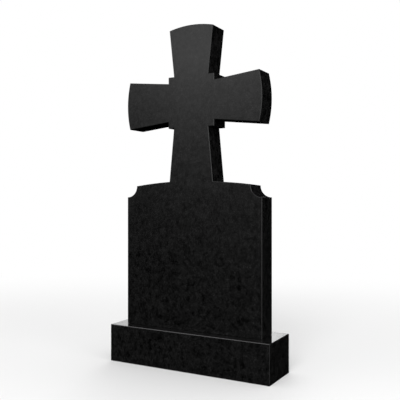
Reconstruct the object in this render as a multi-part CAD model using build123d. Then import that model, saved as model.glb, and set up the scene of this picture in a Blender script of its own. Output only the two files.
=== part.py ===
from build123d import *
import os

# Cross headstone of polished granite: a slab with a flared cross, pinned on a low stand.
# Millimetres. X runs across the front, Y to the back, Z up.
# The origin is on the ground under the middle of the stand.

# Stand: a plain rectangular base stone
STAND_LENGTH = 700.0
STAND_DEPTH = 200.0
STAND_HEIGHT = 150.0

# Sheet of granite that the panel and the cross are cut from in one piece
SLAB_WIDTH = 600.0
SLAB_HEIGHT = 1200.0
SLAB_THICKNESS = 100.0

# Panel: straight sides, a hollow cove at each shoulder, a low arch between the coves
PANEL_SIDE_HEIGHT = 523.0
COVE_RADIUS = 46.0
SHOULDER_RISE = 18.5

# Cross: a square centre block with four arms that widen outwards
BLOCK_SIDE = 204.0
ARM_ROOT_WIDTH = 153.0
ARM_END_WIDTH = 194.0
ARM_END_BULGE = 12.0

# Narrow bevel polished on the edges that show
ARRIS = 2.0

# Joint between the two stones: a bed of adhesive and two round steel pins
BED_THICKNESS = 1.0
BED_SETBACK = 6.0
PIN_DIAMETER = 12.0
PIN_LENGTH = 200.0
PIN_SPACING = 300.0
PIN_SOCKET_DEPTH = 100.0
PIN_BEVEL = 1.0
PIN_SIDE_CLEARANCE = 1.0
PIN_END_CLEARANCE = 5.0

# Places that follow from the sizes
SLAB_FOOT = STAND_HEIGHT + BED_THICKNESS
CROSS_REACH = SLAB_WIDTH / 2
CROSS_CENTRE = SLAB_HEIGHT - CROSS_REACH
PIN_FOOT = STAND_HEIGHT - PIN_SOCKET_DEPTH
PIN_TOP = PIN_FOOT + PIN_LENGTH


def shoulder_height(x):
    """Height of the arch between the coves above the slab's foot, at x from the middle."""
    half_chord = SLAB_WIDTH / 2 - COVE_RADIUS
    radius = (half_chord**2 + SHOULDER_RISE**2) / (2 * SHOULDER_RISE)
    crown = PANEL_SIDE_HEIGHT + COVE_RADIUS + SHOULDER_RISE
    return crown - radius + (radius**2 - x**2) ** 0.5


def panel_face():
    """The panel seen from the front, with its foot on the line y = 0."""
    side = SLAB_WIDTH / 2
    shoulder = side - COVE_RADIUS
    cove_top = PANEL_SIDE_HEIGHT + COVE_RADIUS
    with BuildSketch() as sketch:
        with BuildLine():
            Polyline((-side, PANEL_SIDE_HEIGHT), (-side, 0), (side, 0), (side, PANEL_SIDE_HEIGHT))
            CenterArc((side, cove_top), COVE_RADIUS, 180, 90)
            ThreePointArc((shoulder, cove_top), (0, cove_top + SHOULDER_RISE), (-shoulder, cove_top))
            CenterArc((-side, cove_top), COVE_RADIUS, 270, 90)
        make_face()
    return sketch.sketch


def arm_face():
    """A short arm that points up from the centre of the cross, which is the sketch's origin."""
    root = ARM_ROOT_WIDTH / 2
    end = ARM_END_WIDTH / 2
    start = BLOCK_SIDE / 2
    corner = CROSS_REACH - ARM_END_BULGE
    with BuildSketch() as sketch:
        with BuildLine():
            Polyline((end, corner), (root, start), (-root, start), (-end, corner))
            ThreePointArc((-end, corner), (0, CROSS_REACH), (end, corner))
        make_face()
    return sketch.sketch


def shaft_face():
    """The lower arm: it reaches an arm end's width at the arch and runs on into the panel."""
    root = ARM_ROOT_WIDTH / 2
    foot = ARM_END_WIDTH / 2
    top = CROSS_CENTRE - BLOCK_SIDE / 2
    arch = shoulder_height(foot)
    buried = PANEL_SIDE_HEIGHT
    flare = (foot - root) / (top - arch)
    wide = root + flare * (top - buried)
    with BuildSketch() as sketch:
        with BuildLine():
            Polyline((root, top), (-root, top), (-wide, buried), (wide, buried), close=True)
        make_face()
    return sketch.sketch


def slab_face():
    """The whole outline of the slab, seen from the front."""
    face = panel_face() + shaft_face() + Pos(0, CROSS_CENTRE) * Rectangle(BLOCK_SIDE, BLOCK_SIDE)
    for turn in (-90, 0, 90):
        face += Pos(0, CROSS_CENTRE) * Rot(0, 0, turn) * arm_face()
    return face


def pin_places():
    """The two pins' axes, left and right of the middle."""
    return {"left": -PIN_SPACING / 2, "right": PIN_SPACING / 2}


def drill(solid, low, high):
    """Cuts the pins' round holes from height low to height high."""
    radius = PIN_DIAMETER / 2 + PIN_SIDE_CLEARANCE
    for x in pin_places().values():
        solid -= Pos(x, 0, (low + high) / 2) * Cylinder(radius, high - low)
    return solid


def make_stele():
    """Panel and cross in one stone, bevelled all round except at the joint, and drilled below."""
    slab = extrude(Plane.XZ * slab_face(), amount=SLAB_THICKNESS / 2, both=True)
    outline = slab.faces().filter_by(Axis.Y).edges()
    foot = outline.group_by(Axis.Z)[0]
    slab = Pos(0, 0, SLAB_FOOT) * chamfer([edge for edge in outline if edge not in foot], ARRIS)
    return drill(slab, SLAB_FOOT, PIN_TOP + PIN_END_CLEARANCE)


def make_stand():
    """The base stone, bevelled at the top and down its corners, with the pins' sockets."""
    block = Pos(0, 0, STAND_HEIGHT / 2) * Box(STAND_LENGTH, STAND_DEPTH, STAND_HEIGHT)
    foot = block.edges().group_by(Axis.Z)[0]
    block = chamfer([edge for edge in block.edges() if edge not in foot], ARRIS)
    return drill(block, PIN_FOOT, STAND_HEIGHT)


def make_bedding():
    """The adhesive between the stones, held back from the slab's faces, with room for the pins."""
    length = SLAB_WIDTH - 2 * BED_SETBACK
    depth = SLAB_THICKNESS - 2 * BED_SETBACK
    bed = Pos(0, 0, STAND_HEIGHT + BED_THICKNESS / 2) * Box(length, depth, BED_THICKNESS)
    return drill(bed, STAND_HEIGHT, SLAB_FOOT)


def make_pin(x):
    """A round steel pin that stands on the bottom of its socket."""
    pin = Cylinder(PIN_DIAMETER / 2, PIN_LENGTH)
    pin = chamfer(pin.edges().filter_by(GeomType.CIRCLE), PIN_BEVEL)
    return Pos(x, 0, PIN_FOOT + PIN_LENGTH / 2) * pin


pieces = {
    "stand": make_stand(),
    "bedding": make_bedding(),
    "stele": make_stele(),
}
for side_name, pin_x in pin_places().items():
    pieces["pin_" + side_name] = make_pin(pin_x)

os.makedirs("parts", exist_ok=True)
for name, piece in pieces.items():
    export_step(piece, "parts/" + name + ".step")
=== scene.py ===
import math
import bpy
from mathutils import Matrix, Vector

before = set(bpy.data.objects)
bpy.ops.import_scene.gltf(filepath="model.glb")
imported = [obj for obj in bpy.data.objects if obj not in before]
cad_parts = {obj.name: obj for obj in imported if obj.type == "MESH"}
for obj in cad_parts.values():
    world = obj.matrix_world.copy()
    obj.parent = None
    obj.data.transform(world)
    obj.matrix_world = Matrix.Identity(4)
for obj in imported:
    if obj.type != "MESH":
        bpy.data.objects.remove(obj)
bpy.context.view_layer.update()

# Cross headstone of polished black granite, in metres in the CAD frame:
# X runs across the front, Y to the back, Z up, and the ground is at z = 0.

WHITE = (1.0, 1.0, 1.0, 1.0)

# Camera: level, and turned to see the front and the right side. Its middle is the place in the
# picture that the lens points at, in pixels from the left and from the top.
PICTURE_PIXELS = 400
SENSOR_WIDTH = 36.0
FOCAL_PIXELS = 612.7
MIDDLE_X_PIXELS = 180.2
MIDDLE_Y_PIXELS = 196.7
CAMERA_PLACE = (1.1658, -2.1509, 0.6766)
CAMERA_TILT = 90.0
CAMERA_TURN = 30.0

# Light: an even sky, and large soft lamps that face the middle of the stone, in watts
SKY_STRENGTH = 0.95
LAMP_SIZE = 2.4
LAMP_TARGET = (0.0, 0.0, 0.7)
LAMPS = {
    "key": {"place": (1.2, -3.95, 2.4), "power": 150.0},
    "fill": {"place": (4.4, -1.0, 1.2), "power": 52.0},
    "back": {"place": (-1.6, 4.2, 2.4), "power": 60.0},
}

# Floor: pale round the stone, turning to the white of the background further out
FLOOR_REACH = 60.0
FLOOR_ALBEDO = 0.8
FLOOR_PALE_RADIUS = 0.8
FLOOR_WHITE_RADIUS = 3.2

# Dark room that only the polish mirrors: a window at the back left, whose lower edge slopes,
# a dim ceiling, and a soft box above the front left. Heights are sines of the angle above the
# horizon. A compass list pairs an angle in degrees, counter-clockwise from +X, with its level.
ROOM_RADIUS = 40.0
ROOM_SEGMENTS = 64
ROOM_RINGS = 32
WINDOW_HEIGHTS = (0.243, 0.247)
WINDOW_SLOPE = 0.109
WINDOW_COMPASS = (
    (-180.0, 0.0),
    (109.0, 0.0),
    (109.9, 2.25),
    (116.0, 2.1),
    (131.0, 1.32),
    (150.0, 1.3),
    (170.0, 0.0),
)
BOX_DIRECTION = (-0.5, -0.42, 0.76)
BOX_ANGLES = (24.0, 17.0)
BOX_LEVEL = 1.9
CEILING_HEIGHTS = (0.6, 0.85)
CEILING_LEVEL = 0.25

# Curved screen in front and at the sides that only the polish mirrors: it brightens upwards,
# as a curve in front and evenly on the right. Its heights are in metres.
SCREEN_RADIUS = 2.45
SCREEN_FOOT = -0.8
SCREEN_TOP = 2.5
SCREEN_ENDS = (-180.0, 40.0)
SCREEN_STEPS = 72
FRONT_HEIGHTS = (-0.468, 1.75)
FRONT_GROWTH = 3.1
FRONT_LOWEST = 0.018
FRONT_COMPASS = (
    (-180.0, 0.4),
    (-145.0, 0.55),
    (-130.0, 0.77),
    (-118.0, 1.06),
    (-104.0, 0.9),
    (-80.0, 0.9),
    (-50.0, 0.0),
)
RIGHT_HEIGHTS = (-0.5, 1.5)
RIGHT_COMPASS = (
    (-180.0, 0.0),
    (-124.0, 0.0),
    (-104.0, 0.1),
    (-70.0, 0.1),
    (-50.0, 1.15),
    (-15.0, 1.15),
    (5.0, 0.0),
)

# All materials: the limits that a noise seldom leaves, and the depth of the relief in metres
NOISE_LIMITS = (0.3, 0.7)
RELIEF_DEPTH = 0.00001

# Granite: brightness levels are linear, and scales are per metre
STONE_DARK = 0.0
STONE_LIGHT = 0.0072
CLOUD_STRETCH = (1.0, 1.0, 0.82)
CLOUD_SCALE = 60.0
CLOUD_DETAIL = 3.0
CLOUD_ROUGHNESS = 0.6
CLOUD_LIMITS = (0.36, 0.66)
PATCH_SCALE = 32.0
PATCH_DETAIL = 0.0
PATCH_SHARE = 0.2
CRYSTAL_SCALE = 400.0
CRYSTAL_STRETCH = (1.0, 1.0, 2.2)
CRYSTAL_TURNS = ((20.0, 35.0, 0.0), (100.0, 60.0, 30.0), (150.0, 130.0, 80.0))
CRYSTAL_FROM = 0.86
CRYSTAL_LEVEL = 0.009
FLECK_SCALE = 1400.0
FLECK_FROM = 0.94
FLECK_LEVEL = 0.03
POLISH_ROUGHNESS = (0.04, 0.08)
ARRIS_FLATNESS = (0.8, 0.95)
# Bevel colour, lighter than the stone: partly the honed finish, partly a painted highlight
# along the edges
ARRIS_LEVEL = (0.011, 0.021)
ARRIS_SCALE = 260.0
ARRIS_DETAIL = 3.0
ARRIS_ROUGHNESS = 0.22
STAND_SHIFT = (1.7, 0.4, 2.9)

# Hidden materials of the joint
ADHESIVE_LEVEL = (0.014, 0.026)
ADHESIVE_SCALE = 500.0
ADHESIVE_DETAIL = 3.0
ADHESIVE_ROUGHNESS = 0.75
STEEL_LEVEL = (0.5, 0.6)
STEEL_SCALE = 900.0
STEEL_DETAIL = 2.0
STEEL_STRETCH = (1.0, 1.0, 0.05)
STEEL_ROUGHNESS = 0.35


def node_maker(tree):
    """Returns a function that adds a node to the tree with its settings and inputs."""

    def make(kind, inputs=None, **settings):
        node = tree.nodes.new("ShaderNode" + kind)
        for name, value in settings.items():
            setattr(node, name, value)
        for name, value in (inputs or {}).items():
            if isinstance(value, bpy.types.NodeSocket):
                tree.links.new(value, node.inputs[name])
            else:
                node.inputs[name].default_value = value
        return node

    return make


def new_tree(owner):
    """Clears the node tree of a material or a world and returns its node maker."""
    owner.use_nodes = True
    owner.node_tree.nodes.clear()
    return node_maker(owner.node_tree)


def new_material(name):
    """Returns an empty material, its node maker and the place on the object."""
    material = bpy.data.materials.new(name)
    make = new_tree(material)
    return material, make, make("TexCoord").outputs["Object"]


def math_node(make, operation, first, second=0.0):
    return make("Math", {0: first, 1: second}, operation=operation).outputs[0]


def remap(make, value, low, high, to_low=0.0, to_high=1.0, smooth=False):
    """Maps low to to_low and high to to_high, and goes no further than those."""
    limits = {
        "Value": value,
        "From Min": low,
        "From Max": high,
        "To Min": to_low,
        "To Max": to_high,
    }
    kind = "SMOOTHSTEP" if smooth else "LINEAR"
    return make("MapRange", limits, interpolation_type=kind).outputs["Result"]


def blend(make, share, first, second):
    """The first value where share is 0, and the second where it is 1."""
    return make("Mix", {0: share, 2: first, 3: second}, data_type="FLOAT").outputs[0]


def background_rays(make):
    """1 for the rays that see the background: from the camera, off gloss and through glass."""
    path = make("LightPath").outputs
    direct = math_node(make, "MAXIMUM", path["Is Camera Ray"], path["Is Glossy Ray"])
    return math_node(make, "MAXIMUM", direct, path["Is Transmission Ray"])


def add_camera():
    data = bpy.data.cameras.new("camera")
    data.sensor_width = SENSOR_WIDTH
    data.lens = FOCAL_PIXELS / PICTURE_PIXELS * SENSOR_WIDTH
    data.shift_x = 0.5 - MIDDLE_X_PIXELS / PICTURE_PIXELS
    data.shift_y = MIDDLE_Y_PIXELS / PICTURE_PIXELS - 0.5
    camera = bpy.data.objects.new("camera", data)
    camera.location = CAMERA_PLACE
    camera.rotation_euler = (math.radians(CAMERA_TILT), 0.0, math.radians(CAMERA_TURN))
    bpy.context.scene.collection.objects.link(camera)
    bpy.context.scene.camera = camera


def add_world():
    """A white background, and an even sky above the horizon that lights everything else."""
    world = bpy.data.worlds.new("studio")
    bpy.context.scene.world = world
    make = new_tree(world)
    direction = make("TexCoord").outputs["Generated"]
    height = make("SeparateXYZ", {"Vector": direction}).outputs["Z"]
    above = math_node(make, "GREATER_THAN", height)
    strength = math_node(make, "MULTIPLY", above, SKY_STRENGTH)
    sky = make("Background", {"Strength": strength}).outputs[0]
    white = make("Background", {"Color": WHITE, "Strength": 1.0}).outputs[0]
    shader = make("MixShader", {0: background_rays(make), 1: sky, 2: white}).outputs[0]
    make("OutputWorld", {"Surface": shader})


def add_lamps():
    """Soft square lamps that light the stone without showing in its polish."""
    for name, lamp in LAMPS.items():
        data = bpy.data.lights.new(name, "AREA")
        data.size = LAMP_SIZE
        data.energy = lamp["power"]
        light = bpy.data.objects.new(name, data)
        towards = Vector(LAMP_TARGET) - Vector(lamp["place"])
        light.location = lamp["place"]
        light.rotation_euler = towards.to_track_quat("-Z", "Y").to_euler()
        light.visible_glossy = False
        bpy.context.scene.collection.objects.link(light)


def floor_material():
    """Pale matt ground near the stone that turns to plain white away from it."""
    material, make, place = new_material("floor")
    distance = make("VectorMath", {0: place}, operation="LENGTH").outputs["Value"]
    far = remap(make, distance, FLOOR_PALE_RADIUS, FLOOR_WHITE_RADIUS, smooth=True)
    grey = (FLOOR_ALBEDO, FLOOR_ALBEDO, FLOOR_ALBEDO, 1.0)
    pale = make("BsdfDiffuse", {"Color": grey}).outputs[0]
    white = make("Emission", {"Color": WHITE, "Strength": 1.0}).outputs[0]
    share = math_node(make, "MULTIPLY", far, background_rays(make))
    shader = make("MixShader", {0: share, 1: pale, 2: white}).outputs[0]
    make("OutputMaterial", {"Surface": shader})
    return material


def add_floor():
    """The ground. It throws no light up at the stone, and the polish doesn't mirror it."""
    bpy.ops.mesh.primitive_plane_add(size=2 * FLOOR_REACH)
    floor = bpy.context.object
    floor.name = "floor"
    floor.data.materials.append(floor_material())
    floor.visible_glossy = False
    floor.visible_diffuse = False


def compass_ramp(make, direction, compass):
    """Brightness by compass angle, eased from each pair of the list to the next."""
    brightest = max(level for angle, level in compass)
    turn = make("TexGradient", {"Vector": direction}, gradient_type="RADIAL").outputs["Fac"]
    node = make("ValToRGB", {"Fac": turn})
    stops = node.color_ramp.elements
    stops.remove(stops[1])
    stops[0].position = 0.0
    for index, (angle, level) in enumerate(compass):
        stop = stops[0] if index == 0 else stops.new(angle / 360 + 0.5)
        share = level / brightest
        stop.color = (share, share, share, 1.0)
    node.color_ramp.interpolation = "EASE"
    return math_node(make, "MULTIPLY", node.outputs["Color"], brightest)


def glow_material(name, level):
    """Light of its own; level returns its strength from a node maker and the place."""
    material, make, place = new_material(name)
    shader = make("Emission", {"Strength": level(make, place)}).outputs[0]
    make("OutputMaterial", {"Surface": shader})
    material.cycles.emission_sampling = "NONE"
    return material


def room_level(make, place):
    """Dark, but for the window, the soft box and a dim ceiling."""
    direction = make("VectorMath", {0: place}, operation="NORMALIZE").outputs["Vector"]
    x, y, height = make("SeparateXYZ", {"Vector": direction}).outputs
    sill = math_node(make, "SUBTRACT", height, math_node(make, "MULTIPLY", x, WINDOW_SLOPE))
    window = remap(make, sill, *WINDOW_HEIGHTS, smooth=True)
    window = math_node(make, "MULTIPLY", window, compass_ramp(make, direction, WINDOW_COMPASS))
    ceiling = remap(make, height, *CEILING_HEIGHTS, smooth=True)
    room = blend(make, ceiling, window, CEILING_LEVEL)
    middle = Vector(BOX_DIRECTION).normalized()
    match = make("VectorMath", {0: direction, 1: middle}, operation="DOT_PRODUCT")
    rim, core = [math.cos(math.radians(angle)) for angle in BOX_ANGLES]
    box = remap(make, match.outputs["Value"], rim, core, smooth=True)
    return blend(make, box, room, BOX_LEVEL)


def screen_level(make, place):
    """Brighter with height, and by the side that it stands on."""
    height = make("SeparateXYZ", {"Vector": place}).outputs["Z"]
    front = math_node(make, "POWER", remap(make, height, *FRONT_HEIGHTS), FRONT_GROWTH)
    front = math_node(make, "ADD", front, FRONT_LOWEST)
    front = math_node(make, "MULTIPLY", front, compass_ramp(make, place, FRONT_COMPASS))
    right = remap(make, height, *RIGHT_HEIGHTS)
    right = math_node(make, "MULTIPLY", right, compass_ramp(make, place, RIGHT_COMPASS))
    return math_node(make, "ADD", front, right)


def mirror_only(thing, material):
    """Makes a piece of the studio that only reflections see."""
    thing.data.materials.append(material)
    thing.visible_camera = False
    thing.visible_diffuse = False
    thing.visible_shadow = False
    thing.visible_transmission = False


def add_room():
    bpy.ops.mesh.primitive_uv_sphere_add(
        segments=ROOM_SEGMENTS, ring_count=ROOM_RINGS, radius=ROOM_RADIUS
    )
    room = bpy.context.object
    room.name = "room"
    mirror_only(room, glow_material("room", room_level))


def add_screen():
    """A curved wall. It goes down below the ground, which the polish doesn't mirror."""
    first, last = [math.radians(angle) for angle in SCREEN_ENDS]
    rims = []
    for step in range(SCREEN_STEPS + 1):
        turn = first + (last - first) * step / SCREEN_STEPS
        x = SCREEN_RADIUS * math.cos(turn)
        y = SCREEN_RADIUS * math.sin(turn)
        rims += [(x, y, SCREEN_FOOT), (x, y, SCREEN_TOP)]
    faces = [(2 * i, 2 * i + 2, 2 * i + 3, 2 * i + 1) for i in range(SCREEN_STEPS)]
    mesh = bpy.data.meshes.new("screen")
    mesh.from_pydata(rims, [], faces)
    screen = bpy.data.objects.new("screen", mesh)
    bpy.context.scene.collection.objects.link(screen)
    mirror_only(screen, glow_material("screen", screen_level))


def noise(make, place, scale, detail, **more):
    inputs = {"Vector": place, "Scale": scale, "Detail": detail, **more}
    return make("TexNoise", inputs).outputs["Fac"]


def cloud_noise(make, place):
    """Soft light and dark patches in the stone, a little longer upright than across."""
    drawn = make("Mapping", {"Vector": place, "Scale": CLOUD_STRETCH}).outputs["Vector"]
    small = noise(make, drawn, CLOUD_SCALE, CLOUD_DETAIL, Roughness=CLOUD_ROUGHNESS)
    large = noise(make, drawn, PATCH_SCALE, PATCH_DETAIL)
    return remap(make, blend(make, PATCH_SHARE, small, large), *CLOUD_LIMITS)


def cells(make, place, scale):
    """A random number from 0 to 1 for each grain."""
    colour = make("TexVoronoi", {"Vector": place, "Scale": scale}).outputs["Color"]
    return make("SeparateColor", {"Color": colour}).outputs["Red"]


def crystals(make, place):
    """1 in the lightest of the long crystals, which lie three ways, and 0 in the dark ones."""
    lightest = 0.0
    for turn in CRYSTAL_TURNS:
        angles = [math.radians(angle) for angle in turn]
        inputs = {"Vector": place, "Rotation": angles, "Scale": CRYSTAL_STRETCH}
        drawn = make("Mapping", inputs, vector_type="TEXTURE").outputs["Vector"]
        lightest = math_node(make, "MAXIMUM", cells(make, drawn, CRYSTAL_SCALE), lightest)
    return remap(make, lightest, CRYSTAL_FROM, 1.0)


def flecks(make, place, clouds):
    """Up to 1 in a few tiny bright grains, most of them in the light patches."""
    bright = remap(make, cells(make, place, FLECK_SCALE), FLECK_FROM, 1.0)
    return math_node(make, "MULTIPLY", bright, clouds)


def arris(make, block):
    """1 on the narrow bevels, 0 on the flat and curved faces of a block or of a cut sheet."""
    normal = make("NewGeometry").outputs["True Normal"]
    size = make("VectorMath", {0: normal}, operation="ABSOLUTE").outputs["Vector"]
    x, y, z = make("SeparateXYZ", {"Vector": size}).outputs
    if block:
        rest = math_node(make, "MAXIMUM", x, z)
    else:
        square = math_node(make, "MULTIPLY", y, y)
        rest = math_node(make, "SQRT", math_node(make, "SUBTRACT", 1.0, square))
    flatness = math_node(make, "MAXIMUM", y, rest)
    return remap(make, flatness, *ARRIS_FLATNESS, 1.0, 0.0)


def stone_colour(make, place, light):
    """Brightness of the polished stone: clouds, light crystals and bright flecks."""
    clouds = cloud_noise(make, place)
    base = remap(make, clouds, 0.0, 1.0, STONE_DARK, STONE_LIGHT)
    base = math_node(make, "ADD", base, math_node(make, "MULTIPLY", light, CRYSTAL_LEVEL))
    bright = math_node(make, "MULTIPLY", flecks(make, place, clouds), FLECK_LEVEL)
    return math_node(make, "ADD", base, bright)


def add_surface(make, value, roughness, relief, **more):
    """Ends a material with a grey surface that has a fine relief."""
    colour = make("CombineColor", {"Red": value, "Green": value, "Blue": value}).outputs[0]
    bump = make("Bump", {"Height": relief, "Distance": RELIEF_DEPTH}).outputs["Normal"]
    inputs = {"Base Color": colour, "Roughness": roughness, "Normal": bump, **more}
    shader = make("BsdfPrincipled", inputs).outputs[0]
    make("OutputMaterial", {"Surface": shader})


def granite_material(name, shift=(0.0, 0.0, 0.0), block=False):
    """Polished black granite, with bevels that are ground dull and coloured lighter: partly
    their honed finish, partly a painted highlight along the edges.
    """
    material, make, place = new_material(name)
    place = make("VectorMath", {0: place, 1: shift}, operation="ADD").outputs["Vector"]
    edge = arris(make, block)
    light = crystals(make, place)
    ground = noise(make, place, ARRIS_SCALE, ARRIS_DETAIL)
    # Bevel colour: honed grey, raised further as a painted highlight along the edges
    honed_and_highlight = remap(make, ground, *NOISE_LIMITS, *ARRIS_LEVEL)
    value = blend(make, edge, stone_colour(make, place, light), honed_and_highlight)
    polish = remap(make, light, 0.0, 1.0, *POLISH_ROUGHNESS)
    roughness = blend(make, edge, polish, ARRIS_ROUGHNESS)
    add_surface(make, value, roughness, blend(make, edge, light, ground))
    return material


def adhesive_material():
    """Dark stone adhesive with a fine filler."""
    material, make, place = new_material("stone_adhesive")
    filler = noise(make, place, ADHESIVE_SCALE, ADHESIVE_DETAIL)
    value = remap(make, filler, *NOISE_LIMITS, *ADHESIVE_LEVEL)
    add_surface(make, value, ADHESIVE_ROUGHNESS, filler)
    return material


def steel_material():
    """Bright drawn steel with fine lines along the pin."""
    material, make, place = new_material("pin_steel")
    drawn = make("Mapping", {"Vector": place, "Scale": STEEL_STRETCH}).outputs["Vector"]
    lines = noise(make, drawn, STEEL_SCALE, STEEL_DETAIL)
    value = remap(make, lines, *NOISE_LIMITS, *STEEL_LEVEL)
    add_surface(make, value, STEEL_ROUGHNESS, lines, Metallic=1.0)
    return material


def dress(node, material):
    """Gives a CAD node its material."""
    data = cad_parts[node].data
    data.materials.clear()
    data.materials.append(material)


add_camera()
steel = steel_material()
dress("stele", granite_material("granite_sheet"))
dress("stand", granite_material("granite_block", STAND_SHIFT, block=True))
dress("bedding", adhesive_material())
dress("pin_left", steel)
dress("pin_right", steel)
add_floor()
add_room()
add_screen()
add_world()
add_lamps()
bpy.context.scene.view_settings.view_transform = "Standard"
